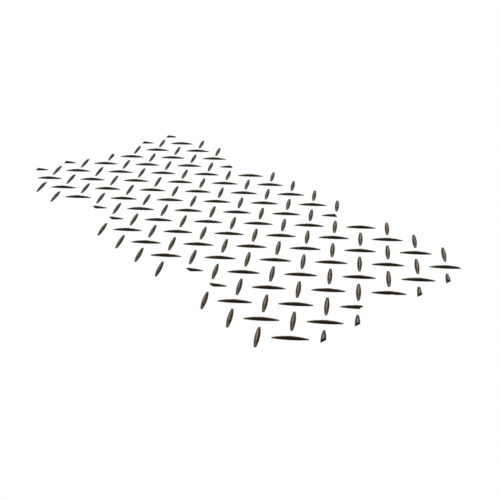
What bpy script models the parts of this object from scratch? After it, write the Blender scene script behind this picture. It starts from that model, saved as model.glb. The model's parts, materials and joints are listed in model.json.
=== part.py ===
# A ground protection mat: one moulded sheet of black plastic, with a tread of
# lens-shaped bars on top, four hand slots and eight bolt holes.
#
# Frame: metres, +Z up. The mat lies on Z = 0 with its length along X and its
# width along Y, and the origin is under the middle of it.

import math

import bmesh
import bpy
from mathutils import Matrix

# Sheet
LENGTH = 2.440
WIDTH = 1.220
THICKNESS = 0.020
CORNER_RADIUS = 0.010
EDGE_CHAMFER = 0.0015

# Hand slots, two along each long side
SLOT_LENGTH = 0.182
SLOT_WIDTH = 0.064
SLOT_RADIUS = 0.022
SLOT_SPACING = 0.896
SLOT_EDGE = 0.0875
SLOT_PAD_ENDS = 0.048
SLOT_PAD_SIDES = 0.030

# Bolt holes, four across each end
HOLE_DIAMETER = 0.032
HOLE_RIM = 0.001
HOLE_END = 0.078
HOLE_SIDE = 0.070
HOLE_PAIR = 0.155
HOLE_LAND = 0.0085

# Tread bars, every second one turned a quarter
BAR_LENGTH = 0.145
BAR_WIDTH = 0.022
BAR_HEIGHT = 0.012
BAR_SINK = 0.003
# Levels of its dome: share of the foot's outline, share of the height
BAR_LEVELS = ((0.74, 0.50), (0.36, 1.0))
PITCH_ALONG = 0.1786
PITCH_ACROSS = 0.1812
TREAD_START = 0.0085
BAR_ANGLE = math.radians(45)

# Bare strips of the top face
END_BORDER = 0.015
END_PAD_DEPTH = 0.084
END_PAD_SIDE = 0.0265
CORNER_PAD_WIDTH = 0.114

# Facets
BAR_STATIONS = 4
HOLE_SIDES = 16
CORNER_STEPS = 4

# How far a cutter runs past what it cuts
CUT_OVER = 0.004
WELD = 0.00001

MAT_COLOUR = (0.030, 0.026, 0.021, 1.0)
MAT_ROUGHNESS = 0.55


def clear_scene():
    for old in list(bpy.data.objects):
        bpy.data.objects.remove(old, do_unlink=True)


def new_collection(name, parent):
    collection = bpy.data.collections.new(name)
    parent.children.link(collection)
    return collection


def plastic_material():
    material = bpy.data.materials.new("moulded_black_plastic")
    material.use_nodes = True
    shader = material.node_tree.nodes["Principled BSDF"]
    shader.inputs["Base Color"].default_value = MAT_COLOUR
    shader.inputs["Roughness"].default_value = MAT_ROUGHNESS
    shader.inputs["Metallic"].default_value = 0.0
    return material


# Outlines

def rounded_rectangle(centre, size, radius):
    """Points of a rectangle with arcs at its corners, anticlockwise."""
    reach_x = size[0] / 2 - radius
    reach_y = size[1] / 2 - radius
    corners = ((1, 1), (-1, 1), (-1, -1), (1, -1))
    points = []
    for quarter, (side_x, side_y) in enumerate(corners):
        for step in range(CORNER_STEPS + 1):
            angle = (quarter + step / CORNER_STEPS) * math.pi / 2
            points.append((centre[0] + side_x * reach_x + radius * math.cos(angle),
                           centre[1] + side_y * reach_y + radius * math.sin(angle)))
    return points


def circle(centre, radius):
    """Points of a circle, anticlockwise."""
    points = []
    for step in range(HOLE_SIDES):
        angle = 2 * math.pi * step / HOLE_SIDES
        points.append((centre[0] + radius * math.cos(angle),
                       centre[1] + radius * math.sin(angle)))
    return points


def slot_centres():
    across = WIDTH / 2 - SLOT_EDGE
    return [(side_x * SLOT_SPACING / 2, side_y * across)
            for side_x in (-1, 1) for side_y in (-1, 1)]


def hole_centres():
    along = LENGTH / 2 - HOLE_END
    across = (HOLE_PAIR / 2, WIDTH / 2 - HOLE_SIDE)
    return [(side_x * along, side_y * reach)
            for side_x in (-1, 1) for side_y in (-1, 1) for reach in across]


# Solids

def mesh_from(source, name, collection):
    """Turn a curve, or an object with modifiers, into a plain welded mesh."""
    bpy.context.view_layer.update()
    evaluated = source.evaluated_get(bpy.context.evaluated_depsgraph_get())
    mesh = bpy.data.meshes.new_from_object(evaluated)
    welded = bmesh.new()
    welded.from_mesh(mesh)
    bmesh.ops.remove_doubles(welded, verts=welded.verts, dist=WELD)
    welded.to_mesh(mesh)
    welded.free()
    mesh.transform(source.matrix_world)
    bpy.data.objects.remove(source, do_unlink=True)
    result = bpy.data.objects.new(name, mesh)
    collection.objects.link(result)
    return result


def plate_from(name, loop, bottom, top, chamfer, collection):
    """A flat plate with the given outline, as a mesh in place."""
    outline = bpy.data.curves.new(name, "CURVE")
    outline.dimensions = "2D"
    outline.fill_mode = "BOTH"
    outline.extrude = (top - bottom) / 2 - chamfer
    outline.bevel_depth = chamfer
    outline.bevel_resolution = 0
    outline.offset = -chamfer
    spline = outline.splines.new("POLY")
    spline.points.add(len(loop) - 1)
    for point, (x, y) in zip(spline.points, loop):
        point.co = (x, y, 0, 1)
    spline.use_cyclic_u = True
    curve = bpy.data.objects.new(name, outline)
    curve.location.z = (bottom + top) / 2
    collection.objects.link(curve)
    return mesh_from(curve, name, collection)


def sheet(collection):
    loop = rounded_rectangle((0, 0), (LENGTH, WIDTH), CORNER_RADIUS)
    return plate_from("ground_mat", loop, 0, THICKNESS, EDGE_CHAMFER, collection)


def openings(collection):
    """Cutters for the hand slots and the bolt holes, right through the sheet."""
    loops = [rounded_rectangle(centre, (SLOT_LENGTH, SLOT_WIDTH), SLOT_RADIUS)
             for centre in slot_centres()]
    loops += [circle(centre, HOLE_DIAMETER / 2) for centre in hole_centres()]
    for index, loop in enumerate(loops):
        plate_from(f"opening_{index}", loop, -CUT_OVER, THICKNESS + CUT_OVER, 0, collection)
    for index, centre in enumerate(hole_centres()):
        rim_cutter(f"hole_rim_{index}", centre, collection)


def lens_outline(scale):
    """Points of a lens: two arcs that meet in the bar's pointed ends."""
    sagitta = BAR_WIDTH / 2
    radius = (BAR_LENGTH ** 2 / 4 + sagitta ** 2) / (2 * sagitta)
    reach = math.asin(BAR_LENGTH / 2 / radius)
    points = []
    for side in (-1, 1):
        for step in range(BAR_STATIONS):
            angle = reach * (2 * step / BAR_STATIONS - 1)
            points.append((-side * scale * radius * math.sin(angle),
                           side * scale * (radius * math.cos(angle) - radius + sagitta)))
    return points


def tread_bar_mesh():
    """One bar about its own middle, its foot on Z = 0: a low dome on a lens.

    The lens starts inside the sheet, a little larger than its foot, and is
    extruded from level to level, drawn in evenly each time. That keeps the
    lowest flank faces flat where they cross the sheet's top.
    """
    flank_share, flank_rise = BAR_LEVELS[0]
    below = 1 + BAR_SINK * (1 - flank_share) / (flank_rise * BAR_HEIGHT)
    levels = [(below, -BAR_SINK)]
    levels += [(share, rise * BAR_HEIGHT) for share, rise in BAR_LEVELS]
    shape = bmesh.new()
    face = shape.faces.new([shape.verts.new((x, y, -BAR_SINK)) for x, y in lens_outline(below)])
    foot = face
    for (share, height), (next_share, next_height) in zip(levels, levels[1:]):
        grown = bmesh.ops.extrude_face_region(shape, geom=[face])["geom"]
        if face is not foot:
            bmesh.ops.delete(shape, geom=[face], context="FACES_ONLY")
        face = next(item for item in grown if isinstance(item, bmesh.types.BMFace))
        draw = next_share / share
        bmesh.ops.scale(shape, vec=(draw, draw, 1), verts=face.verts)
        bmesh.ops.translate(shape, vec=(0, 0, next_height - height), verts=face.verts)
    bmesh.ops.recalc_face_normals(shape, faces=shape.faces)
    mesh = bpy.data.meshes.new("bar")
    shape.to_mesh(mesh)
    shape.free()
    return mesh


# Tread layout

def bare_zones():
    """Rectangles of the top face that carry no tread: centre and size."""
    zones = []
    pad = (SLOT_LENGTH + 2 * SLOT_PAD_ENDS, SLOT_WIDTH + 2 * SLOT_PAD_SIDES)
    zones += [(centre, pad) for centre in slot_centres()]
    deep = (END_PAD_DEPTH + CUT_OVER, HOLE_PAIR + 2 * END_PAD_SIDE)
    corner = (END_PAD_DEPTH + CUT_OVER, CORNER_PAD_WIDTH + CUT_OVER)
    along = LENGTH / 2 - END_PAD_DEPTH / 2 + CUT_OVER / 2
    across = WIDTH / 2 - CORNER_PAD_WIDTH / 2 + CUT_OVER / 2
    for side_x in (-1, 1):
        zones.append(((side_x * along, 0), deep))
        for side_y in (-1, 1):
            zones.append(((side_x * along, side_y * across), corner))
    return zones


def is_bare(x, y):
    """True where the middle of a bar would fall in a bare zone."""
    for centre, size in bare_zones():
        if abs(x - centre[0]) < size[0] / 2 and abs(y - centre[1]) < size[1] / 2:
            return True
    land = HOLE_DIAMETER / 2 + HOLE_LAND
    return any(math.hypot(x - hole[0], y - hole[1]) < land for hole in hole_centres())


def bar_places():
    """Middle and turn of every bar: a square lattice, and the one between."""
    columns = round(LENGTH / PITCH_ALONG)
    rows = round(WIDTH / PITCH_ACROSS)
    places = []
    for column in range(columns):
        for row in range(rows - 1):
            x = TREAD_START + column * PITCH_ALONG - LENGTH / 2
            y = (row - (rows - 2) / 2) * PITCH_ACROSS
            places.append((x, y, BAR_ANGLE))
        for row in range(rows):
            x = TREAD_START + (column + 0.5) * PITCH_ALONG - LENGTH / 2
            y = (row - (rows - 1) / 2) * PITCH_ACROSS
            places.append((x, y, -BAR_ANGLE))
    return [place for place in places if not is_bare(place[0], place[1])]


def tread(collection):
    """All bars as one object of separate lenses, not yet cut."""
    bar = tread_bar_mesh()
    joined = bmesh.new()
    for x, y, angle in bar_places():
        copy = bar.copy()
        move = Matrix.Translation((x, y, THICKNESS))
        copy.transform(move @ Matrix.Rotation(angle, 4, "Z"))
        joined.from_mesh(copy)
        bpy.data.meshes.remove(copy)
    mesh = bpy.data.meshes.new("tread")
    joined.to_mesh(mesh)
    joined.free()
    result = bpy.data.objects.new("tread", mesh)
    collection.objects.link(result)
    return result


# Cutters

def box_cutter(name, centre, size, collection):
    """A box about the sheet's whole height, with a plan of its own."""
    height = THICKNESS + BAR_HEIGHT + 2 * CUT_OVER
    shape = bmesh.new()
    bmesh.ops.create_cube(shape, size=1)
    bmesh.ops.scale(shape, vec=(size[0], size[1], height), verts=shape.verts)
    middle = (centre[0], centre[1], (THICKNESS + BAR_HEIGHT) / 2)
    bmesh.ops.translate(shape, vec=middle, verts=shape.verts)
    mesh = bpy.data.meshes.new(name)
    shape.to_mesh(mesh)
    shape.free()
    box = bpy.data.objects.new(name, mesh)
    collection.objects.link(box)
    return box


def cone_cutter(name, centre, radii, heights, collection):
    """A round cutter between two heights, with a radius of its own at each."""
    shape = bmesh.new()
    bmesh.ops.create_cone(shape, cap_ends=True, segments=HOLE_SIDES, radius1=radii[0],
                          radius2=radii[1], depth=heights[1] - heights[0])
    middle = (centre[0], centre[1], (heights[0] + heights[1]) / 2)
    bmesh.ops.translate(shape, vec=middle, verts=shape.verts)
    mesh = bpy.data.meshes.new(name)
    shape.to_mesh(mesh)
    shape.free()
    cone = bpy.data.objects.new(name, mesh)
    collection.objects.link(cone)
    return cone


def land_cutter(name, centre, collection):
    """A round cutter for the flat land about a bolt hole."""
    radius = HOLE_DIAMETER / 2 + HOLE_LAND
    reach = (-CUT_OVER, THICKNESS + BAR_HEIGHT + CUT_OVER)
    cone_cutter(name, centre, (radius, radius), reach, collection)


def rim_cutter(name, centre, collection):
    """A cone that takes the edge off a bolt hole at the top face."""
    radius = HOLE_DIAMETER / 2
    reach = (THICKNESS - HOLE_RIM, THICKNESS + CUT_OVER)
    cone_cutter(name, centre, (radius, radius + HOLE_RIM + CUT_OVER), reach, collection)


def add_boolean(target, operation, operand):
    """One exact Boolean with an object, or with all objects of a collection."""
    step = target.modifiers.new(operation.lower(), "BOOLEAN")
    step.operation = operation
    step.solver = "EXACT"
    if isinstance(operand, bpy.types.Collection):
        step.operand_type = "COLLECTION"
        step.collection = operand
    else:
        step.object = operand


def trimmed_tread(collection):
    """The tread cut back from the ends, the slots' pads and the holes' lands."""
    bars = tread(collection)
    field = box_cutter("tread_field", (0, 0), (LENGTH - 2 * END_BORDER, WIDTH), collection)
    zones = new_collection("bare_zones", collection)
    for index, (centre, size) in enumerate(bare_zones()):
        box_cutter(f"bare_zone_{index}", centre, size, zones)
    for index, centre in enumerate(hole_centres()):
        land_cutter(f"hole_land_{index}", centre, zones)
    add_boolean(bars, "INTERSECT", field)
    add_boolean(bars, "DIFFERENCE", zones)
    return bars


def mark_cutters(collection):
    for cutter in collection.all_objects:
        cutter.hide_render = True
        cutter.display_type = "WIRE"


def main():
    clear_scene()
    root = bpy.context.scene.collection
    parts = new_collection("ground_protection_mat", root)
    cutters = new_collection("cutters", root)
    through = new_collection("openings", cutters)
    mat = sheet(parts)
    mat.data.materials.append(plastic_material())
    openings(through)
    add_boolean(mat, "UNION", trimmed_tread(cutters))
    add_boolean(mat, "DIFFERENCE", through)
    mark_cutters(cutters)


main()
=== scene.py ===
# %% [markdown]
# A ground protection mat, modelled for its picture.
#
# The real object is one sheet of black polyethylene, pressed in a mould. Its top carries a tread of
# lens-shaped bars, four hand slots run along its long sides, and eight bolt holes lie across its ends.
# It is used flat on soft ground, so its black is never quite black: a thin film of dust greys it.
#
# This lesson builds the mat as one mesh with Blender's own operators, gives it a node-based plastic,
# and sets a camera and soft lights around it. Everything is in metres, with Z up.

# %% The frame that the mat is built around
import json
import math

import bmesh
import bpy
from mathutils import Matrix, Vector


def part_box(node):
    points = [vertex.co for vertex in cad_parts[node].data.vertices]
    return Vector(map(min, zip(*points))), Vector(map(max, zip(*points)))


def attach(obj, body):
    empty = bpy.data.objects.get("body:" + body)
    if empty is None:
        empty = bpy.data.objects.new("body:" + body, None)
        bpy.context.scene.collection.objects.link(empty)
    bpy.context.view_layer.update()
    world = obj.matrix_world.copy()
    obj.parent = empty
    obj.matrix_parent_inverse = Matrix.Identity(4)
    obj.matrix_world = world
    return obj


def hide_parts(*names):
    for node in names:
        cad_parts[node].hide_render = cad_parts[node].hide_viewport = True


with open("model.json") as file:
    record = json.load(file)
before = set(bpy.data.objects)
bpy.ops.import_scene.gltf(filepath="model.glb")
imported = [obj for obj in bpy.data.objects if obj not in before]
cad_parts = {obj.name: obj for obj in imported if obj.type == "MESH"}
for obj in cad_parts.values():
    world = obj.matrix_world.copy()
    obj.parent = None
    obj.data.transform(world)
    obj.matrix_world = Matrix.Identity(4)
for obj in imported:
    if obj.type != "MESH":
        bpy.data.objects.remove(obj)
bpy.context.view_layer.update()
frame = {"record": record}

# %% [markdown]
# ## Sizes
#
# The engineering model says how long, wide and thick the mat is and where its openings are, so those
# sizes are read from it and never typed again. Its record states a box of free space in each slot and
# hole, and the middle of that box is the middle of the opening. The sizes of one slot, one hole and
# one bar are set further down, where each is made.

# %% Read the mat's sizes from the frame
low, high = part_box("ground_mat")
record = frame["record"]
LENGTH = high.x - low.x
WIDTH = high.y - low.y
THICKNESS = next(mount["pos_m"][2] for mount in record["mounts"] if mount["name"] == "top_pad")
BAR_HEIGHT = high.z - THICKNESS


def opening_places(word):
    """The middle, in plan, of every stated opening whose name holds the word."""
    boxes = [opening["box_m"] for opening in record["physics"]["openings"] if word in opening["name"]]
    return [((box[0][0] + box[1][0]) / 2, (box[0][1] + box[1][1]) / 2) for box in boxes]


SLOT_PLACES = opening_places("slot")
HOLE_PLACES = opening_places("hole")
print(f"sheet {LENGTH:.3f} x {WIDTH:.3f} x {THICKNESS:.3f} m, bars {BAR_HEIGHT * 1000:.1f} mm high,",
      f"{len(SLOT_PLACES)} slots, {len(HOLE_PLACES)} bolt holes")

# %% [markdown]
# ## Camera
#
# The mat is seen from beyond its near corner, from about the eye height of someone who stands there.
# A camera looks along its own -Z axis, so it is first turned to face the point that it looks at and
# then rolled about that line, because the picture leans by about a degree. The lens is a mild
# telephoto: the far corner shrinks, but gently.

# %% The camera
CAMERA_PLACE = Vector((3.079, -2.123, 1.7213))
LOOK_AT = Vector((0.4184, -0.1156, 0.020))
CAMERA_ROLL = math.radians(-1.12)
LENS = 57.515
SENSOR = 36.0

camera_data = bpy.data.cameras.new("camera")
camera_data.lens = LENS
camera_data.sensor_width = SENSOR
camera = bpy.data.objects.new("camera", camera_data)
bpy.context.scene.collection.objects.link(camera)
facing = (LOOK_AT - CAMERA_PLACE).to_track_quat("-Z", "Y").to_matrix().to_4x4()
camera.matrix_world = Matrix.Translation(CAMERA_PLACE) @ facing @ Matrix.Rotation(CAMERA_ROLL, 4, "Z")
bpy.context.scene.camera = camera
print(f"camera {(LOOK_AT - CAMERA_PLACE).length:.2f} m from what it looks at")

# %% [markdown]
# ## Helpers for modelling by hand
#
# An operator works on whatever is selected, so each step starts by clearing the selection. In edit
# mode, edges and faces are picked by where they lie, which is what a hand would do with a box select.
# A face is called a wall or a cap by the upward part of its normal.

# %% Selecting, applying and cutting
NEAR = 0.00005
WELD = NEAR / 5
WALL_LIMIT = 0.1
CAP_LIMIT = 0.9


def take(piece):
    """Select one object alone and make it active."""
    bpy.ops.object.select_all(action="DESELECT")
    piece.select_set(True)
    bpy.context.view_layer.objects.active = piece


def set_down(piece):
    """Move the object's place, turn and size into its mesh."""
    take(piece)
    bpy.ops.object.transform_apply(location=True, rotation=True, scale=True)


def pick_edges(piece, wanted):
    """In edit mode, select just the edges whose two end points satisfy wanted."""
    bpy.ops.mesh.select_mode(type="EDGE")
    bpy.ops.mesh.select_all(action="DESELECT")
    shape = bmesh.from_edit_mesh(piece.data)
    for edge in shape.edges:
        edge.select_set(wanted(edge))
    bmesh.update_edit_mesh(piece.data)


def pick_faces(piece, wanted):
    """In edit mode, select just the faces that satisfy wanted."""
    bpy.ops.mesh.select_mode(type="FACE")
    bpy.ops.mesh.select_all(action="DESELECT")
    shape = bmesh.from_edit_mesh(piece.data)
    for face in shape.faces:
        face.select_set(wanted(face))
    bmesh.update_edit_mesh(piece.data)


def faces_up(face):
    return face.normal.z > CAP_LIMIT


def faces_down(face):
    return face.normal.z < -CAP_LIMIT


def cut(piece, cutter, operation="DIFFERENCE"):
    """One exact Boolean, applied."""
    take(piece)
    step = piece.modifiers.new("cut", "BOOLEAN")
    step.solver = "EXACT"
    step.operation = operation
    step.object = cutter
    bpy.ops.object.modifier_apply(modifier=step.name)


def join(pieces):
    """All the pieces as one object, with its place in its mesh."""
    bpy.ops.object.select_all(action="DESELECT")
    for piece in pieces:
        piece.select_set(True)
    bpy.context.view_layer.objects.active = pieces[0]
    bpy.ops.object.join()
    joined = bpy.context.object
    set_down(joined)
    return joined


def copy_at(source, place, turn=0.0):
    """A copy with a mesh of its own, set down at a place and turned about Z."""
    copy = source.copy()
    copy.data = source.data.copy()
    bpy.context.scene.collection.objects.link(copy)
    copy.matrix_world = Matrix.Translation(place) @ Matrix.Rotation(turn, 4, "Z")
    return copy


def throw_away(*pieces):
    """Remove objects that have done their work."""
    for piece in pieces:
        bpy.data.objects.remove(piece, do_unlink=True)


print("helpers ready")

# %% [markdown]
# ## The sheet
#
# The sheet is a slab with round corners. A cube at the sheet's size is the quickest start: its four
# upright edges are bevelled to the corner radius. Its outside rim is rounded next, while the slab is
# still plain. Then the tread is joined on, and the openings are cut last.

# %% The slab with its round corners
CORNER_RADIUS = 0.010
CORNER_STEPS = 6

bpy.ops.object.select_all(action="DESELECT")
bpy.ops.mesh.primitive_cube_add(size=1, location=(0, 0, THICKNESS / 2), scale=(LENGTH, WIDTH, THICKNESS))
mat = bpy.context.object
mat.name = "ground_protection_mat"
set_down(mat)


def is_upright(edge):
    first, last = (vertex.co for vertex in edge.verts)
    return abs(first.z - last.z) > NEAR


bpy.ops.object.mode_set(mode="EDIT")
pick_edges(mat, is_upright)
bpy.ops.mesh.bevel(offset=CORNER_RADIUS, segments=CORNER_STEPS, affect="EDGES")
bpy.ops.object.mode_set(mode="OBJECT")
print("slab:", len(mat.data.polygons), "faces")

# %% [markdown]
# A mould can't make a knife edge, and a mat is handled by its rims, so the outline is rounded broadly
# above and finely below. The edges to round have an upright wall on one side and lie in the top or
# the bottom plane.

# %% Round the outside rim
TOP_RIM, BOTTOM_RIM = 0.0045, 0.0010
TOP_RIM_STEPS, BOTTOM_RIM_STEPS = 5, 2


def is_rim(edge):
    """An edge between an upright wall and the top or the bottom."""
    walls = [face for face in edge.link_faces if abs(face.normal.z) < WALL_LIMIT]
    caps = [face for face in edge.link_faces if faces_up(face) or faces_down(face)]
    return len(walls) == 1 and len(caps) == 1


bpy.ops.object.mode_set(mode="EDIT")
pick_edges(mat, lambda edge: is_rim(edge) and edge.verts[0].co.z > THICKNESS / 2)
bpy.ops.mesh.bevel(offset=TOP_RIM, segments=TOP_RIM_STEPS, affect="EDGES")
pick_edges(mat, lambda edge: is_rim(edge) and edge.verts[0].co.z < THICKNESS / 2)
bpy.ops.mesh.bevel(offset=BOTTOM_RIM, segments=BOTTOM_RIM_STEPS, affect="EDGES")
bpy.ops.object.mode_set(mode="OBJECT")
print("slab with its rim:", len(mat.data.polygons), "faces")

# %% [markdown]
# ## One tread bar
#
# Seen from above a tread bar is a lens with blunt ends: two slices of a big disc, back to back, with
# their points taken off. So a quarter of it is cut out of a disc with bisects, its corner is rounded,
# and it is mirrored both ways. Its top is then extruded upwards in steps and drawn in a little more
# each time, which turns the flat lens into a swelling with steep flanks and a long rounded crest.
# LENS_LENGTH is the length that the lens would have with its points still on.

# %% The lens
BAR_LENGTH = 0.145
BAR_WIDTH = 0.022
BAR_SINK = 0.003
LENS_LENGTH = 0.190
END_ROUNDING = 0.003
END_ROUNDING_STEPS = 4
DISC_SIDES = 320

half_width = BAR_WIDTH / 2
disc_radius = (LENS_LENGTH ** 2 / 4 + half_width ** 2) / (2 * half_width)
bpy.ops.object.select_all(action="DESELECT")
bpy.ops.mesh.primitive_cylinder_add(vertices=DISC_SIDES, radius=disc_radius, depth=BAR_SINK,
                                    location=(0, half_width - disc_radius, -BAR_SINK / 2))
bar = bpy.context.object
bar.name = "tread_bar"
set_down(bar)
bpy.ops.object.mode_set(mode="EDIT")
bpy.ops.mesh.select_all(action="SELECT")
bpy.ops.mesh.bisect(plane_co=(0, 0, 0), plane_no=(0, 1, 0), clear_inner=True)
bpy.ops.mesh.select_all(action="SELECT")
bpy.ops.mesh.bisect(plane_co=(0, 0, 0), plane_no=(1, 0, 0), clear_inner=True)
bpy.ops.mesh.select_all(action="SELECT")
bpy.ops.mesh.bisect(plane_co=(BAR_LENGTH / 2, 0, 0), plane_no=(1, 0, 0), clear_outer=True, use_fill=True)


def is_blunt_corner(edge):
    """The upright edge where the blunt end meets the curved side."""
    at_end = all(abs(vertex.co.x - BAR_LENGTH / 2) < NEAR and vertex.co.y > NEAR for vertex in edge.verts)
    return at_end and is_upright(edge)


pick_edges(bar, is_blunt_corner)
bpy.ops.mesh.bevel(offset=END_ROUNDING, segments=END_ROUNDING_STEPS, affect="EDGES")
bpy.ops.object.mode_set(mode="OBJECT")
mirror = bar.modifiers.new("other quarters", "MIRROR")
mirror.use_axis = (True, True, False)
mirror.use_clip = True
mirror.merge_threshold = NEAR
take(bar)
bpy.ops.object.modifier_apply(modifier=mirror.name)
print(f"lens {BAR_LENGTH * 1000:.0f} x {BAR_WIDTH * 1000:.0f} mm from a disc of {disc_radius * 1000:.0f} mm")

# %% The swelling
RIDGE_POWER = 1.9
FLANK_POWER = 1.65
LEVELS = (0.04, 0.14, 0.28, 0.44, 0.60, 0.74, 0.86, 0.94, 1.0)
CREST_LEVEL = 0.95
LEVEL_LIMIT = 0.99


def outline_at(level):
    """Shares of the foot's length and width that the bar's outline has at a level from 0 to 1."""
    return (1 - level) ** (1 / RIDGE_POWER), (1 - level) ** (1 / FLANK_POWER)


def is_lens_top(face):
    return face.normal.z > LEVEL_LIMIT and face.calc_center_median().z > -NEAR


take(bar)
bpy.ops.object.mode_set(mode="EDIT")
pick_faces(bar, is_lens_top)
level, long_share, wide_share = 0.0, 1.0, 1.0
for next_level in LEVELS:
    next_long, next_wide = outline_at(min(next_level, CREST_LEVEL))
    rise = (0, 0, (next_level - level) * BAR_HEIGHT)
    bpy.ops.mesh.extrude_region_move(TRANSFORM_OT_translate={"value": rise})
    bpy.ops.transform.resize(value=(next_long / long_share, next_wide / wide_share, 1),
                             center_override=(0, 0, 0))
    level, long_share, wide_share = next_level, next_long, next_wide
bpy.ops.mesh.select_all(action="SELECT")
bpy.ops.mesh.remove_doubles(threshold=WELD)
bpy.ops.mesh.normals_make_consistent(inside=False)
bpy.ops.object.mode_set(mode="OBJECT")
print("bar:", len(bar.data.polygons), "faces, top at", round(max(v.co.z for v in bar.data.vertices), 4))

# %% [markdown]
# ## The tread's layout
#
# The bars stand at 45 degrees on a lattice that is nearly square, and a second lattice half a pitch
# away carries bars turned the other way, so every bar points at the flank of its neighbours. The
# first column lies TREAD_START in from the far end, so the lattice isn't centred on the sheet. It runs
# on to the long sides, but stops short of the ends, of the pads about the hand slots and of the small
# lands about the bolt holes.

# %% Where the bars stand
PITCH_ALONG = 0.1786
PITCH_ACROSS = 0.1812
TREAD_START = 0.0085
BAR_TURN = math.radians(45)


def bar_places():
    """Middle and turn of every bar on the two lattices."""
    columns = round(LENGTH / PITCH_ALONG)
    rows = round(WIDTH / PITCH_ACROSS)
    places = []
    for column in range(columns):
        x = TREAD_START + column * PITCH_ALONG - LENGTH / 2
        places += [(x, (row - (rows - 2) / 2) * PITCH_ACROSS, BAR_TURN) for row in range(rows - 1)]
        x += PITCH_ALONG / 2
        places += [(x, (row - (rows - 1) / 2) * PITCH_ACROSS, -BAR_TURN) for row in range(rows)]
    return places


print(len(bar_places()), "places on the two lattices")

# %% The bare stretches
SLOT_LENGTH = 0.182
SLOT_WIDTH = 0.064
HOLE_DIAMETER = 0.032
HOLE_SIDES = 32
END_BORDER = 0.015
END_PAD_DEPTH = 0.084
END_PAD_SIDE = 0.0265
CORNER_PAD_WIDTH = 0.114
SLOT_PAD_ENDS = 0.048
SLOT_PAD_SIDES = 0.030
HOLE_LAND = 0.0085
OVER = 0.004


def bare_rectangles():
    """Middle and size, in plan, of each rectangle that carries no tread."""
    slot_pad = (SLOT_LENGTH + 2 * SLOT_PAD_ENDS, SLOT_WIDTH + 2 * SLOT_PAD_SIDES)
    rectangles = [(place, slot_pad) for place in SLOT_PLACES]
    hole_pair = 2 * min(abs(y) for x, y in HOLE_PLACES)
    end_pad = (END_PAD_DEPTH + OVER, hole_pair + 2 * END_PAD_SIDE)
    corner_pad = (END_PAD_DEPTH + OVER, CORNER_PAD_WIDTH + OVER)
    along = LENGTH / 2 - (END_PAD_DEPTH - OVER) / 2
    across = WIDTH / 2 - (CORNER_PAD_WIDTH - OVER) / 2
    for side in (-1, 1):
        rectangles.append(((side * along, 0), end_pad))
        rectangles += [((side * along, reach), corner_pad) for reach in (-across, across)]
    return rectangles


LAND_RADIUS = HOLE_DIAMETER / 2 + HOLE_LAND


def is_bare(x, y):
    """True where the middle of a bar would fall on a bare stretch."""
    for (middle_x, middle_y), size in bare_rectangles():
        if abs(x - middle_x) < size[0] / 2 and abs(y - middle_y) < size[1] / 2:
            return True
    return any(math.hypot(x - hole_x, y - hole_y) < LAND_RADIUS for hole_x, hole_y in HOLE_PLACES)


print(len(bare_rectangles()), "bare rectangles and", len(HOLE_PLACES), "round lands")

# %% [markdown]
# ## Setting out and trimming the tread
#
# Each bar is a copy of the one bar. Most stand free, and only those that reach a bare stretch are
# trimmed, each by itself, because a Boolean on one small bar takes no time. The cutters stand in for
# the flat faces of the mould. Their walls lean outwards a little, so a trimmed bar ends in a steep
# slope. The slots' cutters are SLOT_TRIM wider on each side than the pads.

# %% The trimming cutters
CUT_REACH = 1.5 * BAR_HEIGHT
CUT_LEAN = 0.15
SLOT_TRIM = 0.010


def lean_outwards(cutter, place, size):
    """Spread the top of a cutter and draw its bottom in, so that its walls lean."""
    spread = 2 * CUT_LEAN * CUT_REACH
    for is_end, sign in ((faces_up, 1), (faces_down, -1)):
        take(cutter)
        bpy.ops.object.mode_set(mode="EDIT")
        pick_faces(cutter, is_end)
        factors = tuple(1 + sign * spread / side for side in size)
        bpy.ops.transform.resize(value=(*factors, 1), center_override=(*place, THICKNESS))
        bpy.ops.object.mode_set(mode="OBJECT")


def block_cutter(place, size):
    bpy.ops.object.select_all(action="DESELECT")
    bpy.ops.mesh.primitive_cube_add(size=1, location=(*place, THICKNESS), scale=(*size, 2 * CUT_REACH))
    block = bpy.context.object
    set_down(block)
    lean_outwards(block, place, size)
    return block


def round_cutter(place):
    bpy.ops.object.select_all(action="DESELECT")
    bpy.ops.mesh.primitive_cylinder_add(vertices=HOLE_SIDES, radius=LAND_RADIUS, depth=2 * CUT_REACH,
                                        location=(*place, THICKNESS))
    disc = bpy.context.object
    set_down(disc)
    lean_outwards(disc, place, (2 * LAND_RADIUS, 2 * LAND_RADIUS))
    return disc


pads = bare_rectangles()
slot_cutters = []
for place, size in pads[:len(SLOT_PLACES)]:
    size = (size[0] + 2 * SLOT_TRIM, size[1] + 2 * SLOT_TRIM)
    slot_cutters.append((place, size, block_cutter(place, size)))
cutters = [(place, size, block_cutter(place, size)) for place, size in pads[len(SLOT_PLACES):]]
cutters += [(place, (2 * LAND_RADIUS, 2 * LAND_RADIUS), round_cutter(place)) for place in HOLE_PLACES]
border = (BAR_LENGTH, WIDTH)
for side in (-1, 1):
    place = (side * (LENGTH / 2 - END_BORDER + BAR_LENGTH / 2), 0)
    cutters.append((place, border, block_cutter(place, border)))
print(len(slot_cutters), "cutters for the slots and", len(cutters), "for the rest")

# %% [markdown]
# By the slots only bars of the first lattice whose tip lies in a slot's cutter are trimmed. The others
# slant past a slot's end, and the picture shows them whole.

# %% Copy, trim and join the bars


def reaches(x, y, place, size):
    """Whether a bar about x, y can touch a cutter's rectangle."""
    reach = BAR_LENGTH / 2 * math.cos(BAR_TURN) + BAR_WIDTH / 2
    return abs(x - place[0]) < size[0] / 2 + reach and abs(y - place[1]) < size[1] / 2 + reach


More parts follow.
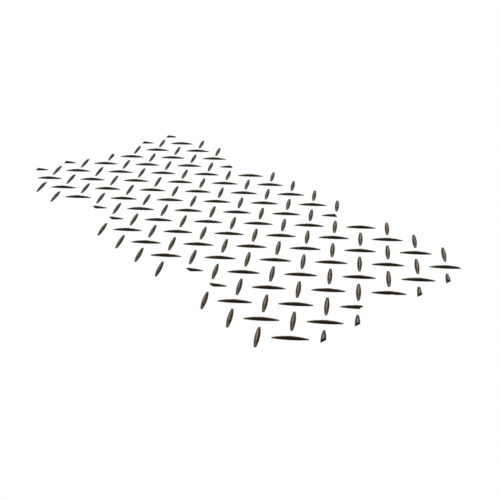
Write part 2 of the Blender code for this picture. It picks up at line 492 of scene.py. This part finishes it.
def points_into(x, y, place, size):
    """Whether an end of a bar about x, y, turned by BAR_TURN, lies in a cutter's rectangle."""
    end = Vector((math.cos(BAR_TURN), math.sin(BAR_TURN))) * BAR_LENGTH / 2
    tips = (Vector((x, y)) + end, Vector((x, y)) - end)
    return any(abs(tip.x - place[0]) < size[0] / 2 and abs(tip.y - place[1]) < size[1] / 2 for tip in tips)


bars = []
trimmed = 0
for x, y, turn in bar_places():
    if is_bare(x, y):
        continue
    copy = copy_at(bar, (x, y, THICKNESS), turn)
    set_down(copy)
    near = [cutter for place, size, cutter in cutters if reaches(x, y, place, size)]
    near += [cutter for place, size, cutter in slot_cutters if turn > 0 and points_into(x, y, place, size)]
    for cutter in near:
        cut(copy, cutter)
    trimmed += bool(near)
    if copy.data.polygons:
        bars.append(copy)
    else:
        throw_away(copy)
throw_away(bar, *(cutter for place, size, cutter in cutters + slot_cutters))
tread = join(bars)
print(len(bars), "bars,", trimmed, "of them near a cutter,", len(tread.data.polygons), "faces")

# %% [markdown]
# ## One moulding
#
# The bars are part of the sheet, so they are joined to it with a union: their sunk feet vanish and
# one closed skin is left.

# %% Fuse the tread with the sheet
cut(mat, tread, "UNION")
throw_away(tread)
print("sheet with its tread:", len(mat.data.polygons), "faces")

# %% [markdown]
# ## Hand slots and bolt holes
#
# A hand slot is long enough for a gloved hand, with round corners. Its cutter is a cube with bevelled
# upright edges, as the slab is. A bolt hole is round, so its cutter is a cylinder. One of each is
# modelled, copies are set down at every place, and all are joined, so that a single Boolean opens the
# whole sheet.
#
# The engineering model's openings have straight walls. Here the slots are narrower at the top than
# below, and the holes wider, by the extras named in the next cell. Those were fitted to how the
# openings look in the picture, and aren't sizes of the real mat. The openings' rims are left sharp.

# %% The opening cutters
SLOT_RADIUS = 0.022
SLOT_STEPS = 8
CUTTER_HEIGHT = 3 * THICKNESS
SLOT_TOP_EXTRA, SLOT_BOTTOM_EXTRA = -0.008, 0.005
HOLE_TOP_EXTRA, HOLE_BOTTOM_EXTRA = 0.002, -0.003


def flare(cutter, size, top_extra, bottom_extra):
    """Give a cutter about the origin leaning walls: its sizes plus an extra at the top and the bottom."""
    middle_extra = (top_extra + bottom_extra) / 2
    end_extra = (top_extra - bottom_extra) / 2 * CUTTER_HEIGHT / THICKNESS
    take(cutter)
    bpy.ops.object.mode_set(mode="EDIT")
    for is_end, extra in ((faces_up, middle_extra + end_extra), (faces_down, middle_extra - end_extra)):
        pick_faces(cutter, is_end)
        factors = tuple(1 + extra / side for side in size)
        bpy.ops.transform.resize(value=(*factors, 1), center_override=(0, 0, 0))
    bpy.ops.object.mode_set(mode="OBJECT")


bpy.ops.object.select_all(action="DESELECT")
bpy.ops.mesh.primitive_cube_add(size=1, location=(0, 0, 0), scale=(SLOT_LENGTH, SLOT_WIDTH, CUTTER_HEIGHT))
slot_cutter = bpy.context.object
set_down(slot_cutter)
bpy.ops.object.mode_set(mode="EDIT")
pick_edges(slot_cutter, is_upright)
bpy.ops.mesh.bevel(offset=SLOT_RADIUS, segments=SLOT_STEPS, affect="EDGES")
bpy.ops.object.mode_set(mode="OBJECT")
flare(slot_cutter, (SLOT_LENGTH, SLOT_WIDTH), SLOT_TOP_EXTRA, SLOT_BOTTOM_EXTRA)

bpy.ops.object.select_all(action="DESELECT")
bpy.ops.mesh.primitive_cylinder_add(vertices=HOLE_SIDES, radius=HOLE_DIAMETER / 2, depth=CUTTER_HEIGHT)
hole_cutter = bpy.context.object
flare(hole_cutter, (HOLE_DIAMETER, HOLE_DIAMETER), HOLE_TOP_EXTRA, HOLE_BOTTOM_EXTRA)

openings = [copy_at(slot_cutter, (x, y, THICKNESS / 2)) for x, y in SLOT_PLACES]
openings += [copy_at(hole_cutter, (x, y, THICKNESS / 2)) for x, y in HOLE_PLACES]
throw_away(slot_cutter, hole_cutter)
opening_cutter = join(openings)
cut(mat, opening_cutter)
throw_away(opening_cutter)
print("mat with its openings:", len(mat.data.polygons), "faces")

# %% [markdown]
# ## Smooth where it is round
#
# Smooth shading needs care here. The flat top is one huge face beside very small ones, and an even
# average of their normals would tilt the light over the whole top. The Weighted Normal modifier lets
# the larger face win, so flats stay flat and domes stay round.

# %% Shade the mat
SMOOTH_ANGLE = math.radians(32)

take(mat)
bpy.ops.object.mode_set(mode="EDIT")
bpy.ops.mesh.select_all(action="SELECT")
bpy.ops.mesh.remove_doubles(threshold=WELD)
bpy.ops.object.mode_set(mode="OBJECT")
bpy.ops.object.shade_smooth_by_angle(angle=SMOOTH_ANGLE)
weights = mat.modifiers.new("flats win", "WEIGHTED_NORMAL")
weights.mode = "FACE_AREA"
weights.keep_sharp = True
bpy.ops.object.modifier_apply(modifier=weights.name)
triangles = sum(len(face.vertices) - 2 for face in mat.data.polygons)
print("mat:", len(mat.data.polygons), "faces,", triangles, "triangles")

# %% [markdown]
# ## Writing a finish as sums
#
# A finish is a tree of nodes, and most of its nodes are plain arithmetic. The small class below wraps
# a socket, so that `0.45 + 0.1 * noise` in Python adds the Math nodes that work it out in the shader.
# Every other node comes from one method, which takes the node's type, its settings and the values or
# links of its sockets. Colours are blended with a Mix node, because a Math node would turn them grey.

# %% The finish and its quantities
MIX_FACTOR, MIX_FIRST, MIX_SECOND, MIX_RESULT = 0, 6, 7, 2
DISTANCE_RESULT = 1


class Quantity:
    """An output socket that takes part in Python sums."""

    def __init__(self, finish, socket):
        self.finish = finish
        self.socket = socket

    def sum(self, operation, *values):
        """One Math node with these values."""
        return self.finish.node("ShaderNodeMath", {"operation": operation}, dict(enumerate(values)))

    def __add__(self, other):
        return self.sum("ADD", self, other)

    def __radd__(self, other):
        return self.sum("ADD", other, self)

    def __sub__(self, other):
        return self.sum("SUBTRACT", self, other)

    def __rsub__(self, other):
        return self.sum("SUBTRACT", other, self)

    def __mul__(self, other):
        return self.sum("MULTIPLY", self, other)

    def __rmul__(self, other):
        return self.sum("MULTIPLY", other, self)

    def __abs__(self):
        return self.sum("ABSOLUTE", self)

    def larger(self, other):
        return self.sum("MAXIMUM", self, other)

    def step(self, start, end):
        """0 before start, 1 after end, and smooth between."""
        settings = {"interpolation_type": "SMOOTHSTEP"}
        values = {"Value": self, "From Min": start, "From Max": end}
        return self.finish.node("ShaderNodeMapRange", settings, values)


class Finish:
    """A material under construction."""

    def __init__(self, name):
        self.material = bpy.data.materials.new(name)
        self.material.use_nodes = True
        self.tree = self.material.node_tree
        self.shader = self.tree.nodes["Principled BSDF"]

    def connect(self, value, socket):
        """Link a quantity to a socket, or set the socket to a plain value."""
        if isinstance(value, Quantity):
            self.tree.links.new(value.socket, socket)
        else:
            socket.default_value = value

    def node(self, kind, settings=None, values=None, output=0):
        """A new node of any kind, as the quantity that it puts out."""
        made = self.tree.nodes.new(kind)
        for name, setting in (settings or {}).items():
            setattr(made, name, setting)
        for key, value in (values or {}).items():
            self.connect(value, made.inputs[key])
        return Quantity(self, made.outputs[output])

    def blend(self, factor, first, second):
        """The first colour where the factor is 0 and the second where it is 1."""
        values = {MIX_FACTOR: factor, MIX_FIRST: first, MIX_SECOND: second}
        return self.node("ShaderNodeMix", {"data_type": "RGBA"}, values, MIX_RESULT)

    def noise(self, place, size, detail=2.0):
        """Noise from 0 to 1 whose features are about this many metres across."""
        return self.node("ShaderNodeTexNoise", None, {"Vector": place, "Scale": 1 / size, "Detail": detail})

    def distance(self, place, point):
        """How far the place is from a fixed point."""
        values = {0: place, 1: point}
        return self.node("ShaderNodeVectorMath", {"operation": "DISTANCE"}, values, DISTANCE_RESULT)

    def stretched(self, place, turn, scale):
        """The place turned about Z and stretched, for patterns that run one way."""
        values = {"Vector": place, "Rotation": (0, 0, turn), "Scale": scale}
        return self.node("ShaderNodeMapping", None, values)


print("finish helpers ready")

# %% [markdown]
# ## The plastic
#
# Moulded polyethylene is satin: its highlights are broad and its skin has a fine grain from the
# mould. On a mat that has been laid out, dust lies as a thin warm grey film on everything that faces
# up. The steep flanks of the bars are made near black: partly they hold no dust, partly this is
# painted shade. The crests are made lighter and smoother: partly they are rubbed by whatever is
# dragged over them, partly this is a painted highlight. These masks are worked out from the height
# above the ground and from how far the surface leans.
#
# The others go by place on the sheet: the top darker towards the borders, painted shade on the long
# sides and the near end face, a painted reflection as a light band across that face, a painted
# highlight at the right corner, a broad painted sheen on the top right of the middle, a darker and
# greyer far part, and painted shade and highlight on the tread that fade away from the near end. They
# follow the tones of this one picture, so another mat of the kind needn't have them. Each pair below
# is where a mask starts and where it is full, in metres unless it says share or lean.

# %% Where each mask starts and is full
FOOT = (THICKNESS, THICKNESS + 0.0005)
FLANK = (THICKNESS + 0.0005, THICKNESS + 0.004)
STEEP_LEANS = (0.68, 0.95)
UPRIGHT_LEANS = (0.30, 0.50)
CREST_SHARES = (0.72, 0.92)
CREST_LEANS = (0.70, 0.92)
END_BORDER_FADE = (-0.24, -0.03)
SIDE_BORDER_FADE = (-0.20, -0.02)
SIDE_WALL = (-TOP_RIM, -TOP_RIM / 3)
END_WALL = (-0.009, -TOP_RIM)
BAND_FOOT = (0.006, 0.008)
BAND_TOP = (0.011, 0.013)
RIGHT_CORNER = (LENGTH / 2, WIDTH / 2, THICKNESS)
CORNER_FADE = (0.08, 0.34)
SHEEN_PLACE = (0.80, 0.33, THICKNESS)
SHEEN_FADE = (0.10, 0.75)
FAR_FADE = (0.30, 1.30)
AWAY_FADE = (0.2, 2.0)

plastic = Finish("dusty_black_polyethylene")
place = plastic.node("ShaderNodeTexCoord", output="Object")
along, across, height = (plastic.node("ShaderNodeSeparateXYZ", None, {0: place}, axis) for axis in "XYZ")
normal = plastic.node("ShaderNodeNewGeometry", output="Normal")
lean = plastic.node("ShaderNodeSeparateXYZ", None, {0: normal}, "Z")

above_foot = height.step(*FLANK)
on_tread = height.step(*FOOT)
# Steep flanks are made near black: partly bare plastic that holds no dust, partly painted shade.
shed_and_shade = (above_foot * (1 - lean.step(*STEEP_LEANS))).larger(on_tread * (1 - lean.step(*UPRIGHT_LEANS)))
crest_heights = [THICKNESS + share * BAR_HEIGHT for share in CREST_SHARES]
# Crests are made lighter: partly rubbed plastic, partly a painted highlight.
crest = height.step(*crest_heights) * lean.step(*CREST_LEANS)
to_ends = abs(along) - LENGTH / 2
to_sides = abs(across) - WIDTH / 2
# The top is darker towards the ends and the long sides.
border = to_ends.step(*END_BORDER_FADE).larger(to_sides.step(*SIDE_BORDER_FADE))
# Painted shade on the long sides and their upper rims, and on the near end face and its rim.
side_wall = to_sides.step(*SIDE_WALL)
end_wall = (along - LENGTH / 2).step(*END_WALL)
# A painted reflection: a light band across the near end face.
end_band = height.step(*BAND_FOOT) * (1 - height.step(*BAND_TOP))
# A painted highlight at the right corner.
corner = 1 - plastic.distance(place, RIGHT_CORNER).step(*CORNER_FADE)
# A painted sheen: a broad light patch on the top, right of the middle.
sheen_patch = 1 - plastic.distance(place, SHEEN_PLACE).step(*SHEEN_FADE)
far = (0 - along).step(*FAR_FADE)
# How far from the near end: the painted shade on the flanks and the painted highlight on the crests fade
# with it.
away = (LENGTH / 2 - along).step(*AWAY_FADE)
print("masks ready: shed, crest, border, walls, band, corner, worn, far, away")

# %% [markdown]
# The film is thicker in some places than in others, in broad patches, smaller blotches and fine
# specks. Over it each blend lays one tone by one mask, from the broadest to the finest, and the
# number with it is how strongly that tone takes over where its mask is full. A loss is how much of
# that is gone by the far end.

# %% Its colour
# Near black: bare plastic, and the colour of painted shade.
BARE_AND_SHADE = (0.022, 0.012, 0.004, 1.0)
GREYED = (0.050, 0.045, 0.040, 1.0)
# A light warm tone: rubbed plastic, and the colour of painted highlights, sheen and reflection.
RUBBED_AND_HIGHLIGHT = (0.360, 0.290, 0.210, 1.0)
THIN_FILM = (0.108, 0.081, 0.050, 1.0)
THICK_FILM = (0.172, 0.131, 0.083, 1.0)
PATCH_SIZE, BLOTCH_SIZE, SPECK_SIZE, SCUFF_SIZE = 0.35, 0.06, 0.004, 0.006
BLOTCH_DETAIL, SPECK_DETAIL, SCUFF_DETAIL = 4.0, 3.0, 2.0
SCUFF_STRETCH = (1.0, 0.03, 1.0)
SCUFF_TURNS = (0.5, 2.2)
SCUFF_LIMITS = (0.66, 0.80)
FILM_BASE, PATCH_SHARE, BLOTCH_SHARE, SPECK_SHARE = 0.62, 0.40, 0.26, 0.10
FILM_LIMITS = (0.78, 1.22)
CORNER_HIGHLIGHT, SHEEN_STRENGTH = 0.40, 0.05
BORDER_DARKENING, SIDE_WALL_SHADE, END_WALL_SHADE = 0.17, 0.34, 0.66
FAR_GREY = 0.16
BAND_REFLECTION = 0.80
SHED_AND_SHADE_STRENGTH, SHED_AND_SHADE_LOSS = 0.80, 0.38
CREST_RUB_AND_HIGHLIGHT, CREST_LOSS = 1.00, 0.60
SCUFF_RUB = 0.06

patches = plastic.noise(place, PATCH_SIZE)
blotches = plastic.noise(place, BLOTCH_SIZE, BLOTCH_DETAIL)
specks = plastic.noise(place, SPECK_SIZE, SPECK_DETAIL)
scuffs = sum(plastic.noise(plastic.stretched(place, turn, SCUFF_STRETCH), SCUFF_SIZE,
                           SCUFF_DETAIL).step(*SCUFF_LIMITS) for turn in SCUFF_TURNS)

film = FILM_BASE + PATCH_SHARE * patches + BLOTCH_SHARE * blotches + SPECK_SHARE * specks
film = film.step(*FILM_LIMITS)
colour = plastic.blend(film, THIN_FILM, THICK_FILM)
# A painted highlight at the right corner and a broad painted sheen near it.
colour = plastic.blend((corner * CORNER_HIGHLIGHT).larger(sheen_patch * SHEEN_STRENGTH), colour, RUBBED_AND_HIGHLIGHT)
# Darker towards the borders, less so by the right corner.
colour = plastic.blend(border * (1 - corner) * BORDER_DARKENING, colour, BARE_AND_SHADE)
colour = plastic.blend(far * FAR_GREY, colour, GREYED)
# Painted shade on the long sides and the near end, with their rims.
colour = plastic.blend((side_wall * SIDE_WALL_SHADE).larger(end_wall * END_WALL_SHADE), colour, BARE_AND_SHADE)
# The painted reflection across the near end face.
colour = plastic.blend(end_wall * end_band * BAND_REFLECTION, colour, RUBBED_AND_HIGHLIGHT)
# Flanks: bare plastic and painted shade, both fading away from the near end.
colour = plastic.blend(shed_and_shade * (SHED_AND_SHADE_STRENGTH - SHED_AND_SHADE_LOSS * away), colour, BARE_AND_SHADE)
# Crests: rubbed plastic and a painted highlight, fading away from the near end.
colour = plastic.blend(crest * (CREST_RUB_AND_HIGHLIGHT - CREST_LOSS * away), colour, RUBBED_AND_HIGHLIGHT)
colour = plastic.blend(scuffs * SCUFF_RUB, colour, RUBBED_AND_HIGHLIGHT)
plastic.connect(colour, plastic.shader.inputs["Base Color"])
print("colour:", len(plastic.tree.nodes), "nodes so far")

# %% [markdown]
# Gloss follows the same story: dust makes a surface rougher and rubbing makes it smoother. The grain
# of the mould is about a millimetre across and far too shallow to model, so a Bump node carries it,
# together with the slight waviness that large thin mouldings have after they cool. The picture is too
# coarse to show either, so their sizes are chosen to suit the plastic.

# %% Its gloss and grain
ROUGHNESS = 0.47
NOISE_MIDDLE = 0.5
BLOTCH_ROUGHNESS, SPECK_ROUGHNESS = 0.08, 0.05
CREST_POLISH, SCUFF_POLISH = 0.10, 0.06
SPECULAR_LEVEL = 0.20
GRAIN_SIZE, GRAIN_DETAIL, GRAIN_DEPTH = 0.0012, 3.0, 0.00012
WAVE_SIZE, WAVE_DETAIL, WAVE_DEPTH = 0.18, 1.0, 0.0009
SCUFF_DEPTH = 0.00006
BUMP_STRENGTH, BUMP_DISTANCE = 1.0, 1.0

roughness = ROUGHNESS + BLOTCH_ROUGHNESS * (blotches - NOISE_MIDDLE)
roughness = roughness + SPECK_ROUGHNESS * (specks - NOISE_MIDDLE)
roughness = roughness - CREST_POLISH * crest - SCUFF_POLISH * scuffs
plastic.connect(roughness, plastic.shader.inputs["Roughness"])
plastic.shader.inputs["Specular IOR Level"].default_value = SPECULAR_LEVEL

grain = plastic.noise(place, GRAIN_SIZE, GRAIN_DETAIL)
waves = plastic.noise(place, WAVE_SIZE, WAVE_DETAIL)
surface = GRAIN_DEPTH * grain + WAVE_DEPTH * waves + SCUFF_DEPTH * scuffs
bump = plastic.node("ShaderNodeBump", None,
                    {"Strength": BUMP_STRENGTH, "Distance": BUMP_DISTANCE, "Height": surface})
plastic.connect(bump, plastic.shader.inputs["Normal"])

mat.data.materials.clear()
mat.data.materials.append(plastic.material)
print("plastic:", len(plastic.tree.nodes), "nodes")

# %% [markdown]
# ## Floor and backdrop
#
# The mat is shown on white with no shadow under it. A floor and a backdrop that glow white give
# that, but a white floor would also light the mat's edges far too strongly. So the white ones are
# seen by the camera alone, and a second, dimmer floor, which the camera doesn't see, sends up the
# light that a real pale floor would.

# %% The glowing floor and backdrop
STAGE_REACH = 30.0
WHITE_GLOW = 1.0
FLOOR_GLOW = 0.23
BLACK = (0, 0, 0, 1)
WHITE = (1, 1, 1, 1)
SEEN_FLOOR_DROP = 0.003
LIT_FLOOR_DROP = 0.001


def glow(name, strength):
    """A material that only sends out light."""
    finish = Finish(name)
    finish.shader.inputs["Base Color"].default_value = BLACK
    finish.shader.inputs["Specular IOR Level"].default_value = 0
    finish.shader.inputs["Emission Color"].default_value = WHITE
    finish.shader.inputs["Emission Strength"].default_value = strength
    return finish.material


def stage_piece(name, strength, seen):
    """Name the object just added, make it glow and say whether the camera or the mat sees it."""
    piece = bpy.context.object
    piece.name = name
    piece.data.materials.append(glow(name + "_glow", strength))
    piece.visible_camera = seen
    piece.visible_diffuse = not seen
    piece.visible_glossy = not seen
    piece.visible_shadow = False
    return piece


bpy.ops.object.select_all(action="DESELECT")
bpy.ops.mesh.primitive_uv_sphere_add(radius=STAGE_REACH)
stage_piece("backdrop", WHITE_GLOW, True)
bpy.ops.mesh.primitive_plane_add(size=2 * STAGE_REACH, location=(0, 0, -SEEN_FLOOR_DROP))
stage_piece("floor", WHITE_GLOW, True)
bpy.ops.mesh.primitive_plane_add(size=2 * STAGE_REACH, location=(0, 0, -LIT_FLOOR_DROP))
stage_piece("floor_light", FLOOR_GLOW, False)
print("stage: backdrop, floor and floor light")

# %% [markdown]
# ## Soft lights
#
# A satin surface shows its lights as broad sheens, so each lamp is a sun with a wide disc, as a big
# softbox would be. Suns are set by direction alone: an azimuth, counted from +X towards +Y, and a
# height over the floor, both in degrees, with a strength. The strongest comes low across the mat from
# the left, so it grazes the top and models the bars, and leaves the near flanks of half of them dark.
# Most of the light on the flats comes from the lamp high behind the mat and from the one overhead.
# The rest are weak and open up the dark sides.

# %% The lamps
LAMP_SPREAD = math.radians(35)
WORLD_STRENGTH = 0.0
LAMPS = (
    ("low_left", 225, 8, 2.50),
    ("overhead", 0, 88, 0.64),
    ("behind_high", 120, 50, 1.40),
    ("right_low", 90, 28, 0.40),
    ("behind_low", 135, 8, 0.24),
    ("left_high", 180, 50, 0.12),
    ("left_low", 180, 8, 0.09),
)


def towards(azimuth, elevation):
    """The direction from the mat to a lamp."""
    azimuth, elevation = math.radians(azimuth), math.radians(elevation)
    level = math.cos(elevation)
    return Vector((math.cos(azimuth) * level, math.sin(azimuth) * level, math.sin(elevation)))


for name, azimuth, elevation, strength in LAMPS:
    lamp_data = bpy.data.lights.new(name, "SUN")
    lamp_data.energy = strength
    lamp_data.angle = LAMP_SPREAD
    lamp = bpy.data.objects.new(name, lamp_data)
    lamp.rotation_euler = towards(azimuth, elevation).to_track_quat("Z", "Y").to_euler()
    bpy.context.scene.collection.objects.link(lamp)

world = bpy.data.worlds.new("studio")
world.use_nodes = True
world.node_tree.nodes["Background"].inputs["Strength"].default_value = WORLD_STRENGTH
bpy.context.scene.world = world
bpy.context.scene.view_settings.view_transform = "Standard"
print(len(LAMPS), "lamps, the view transform is Standard")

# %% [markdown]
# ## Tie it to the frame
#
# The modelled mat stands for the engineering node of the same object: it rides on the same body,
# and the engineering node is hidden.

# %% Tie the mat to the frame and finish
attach(mat, "root")
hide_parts("ground_mat")
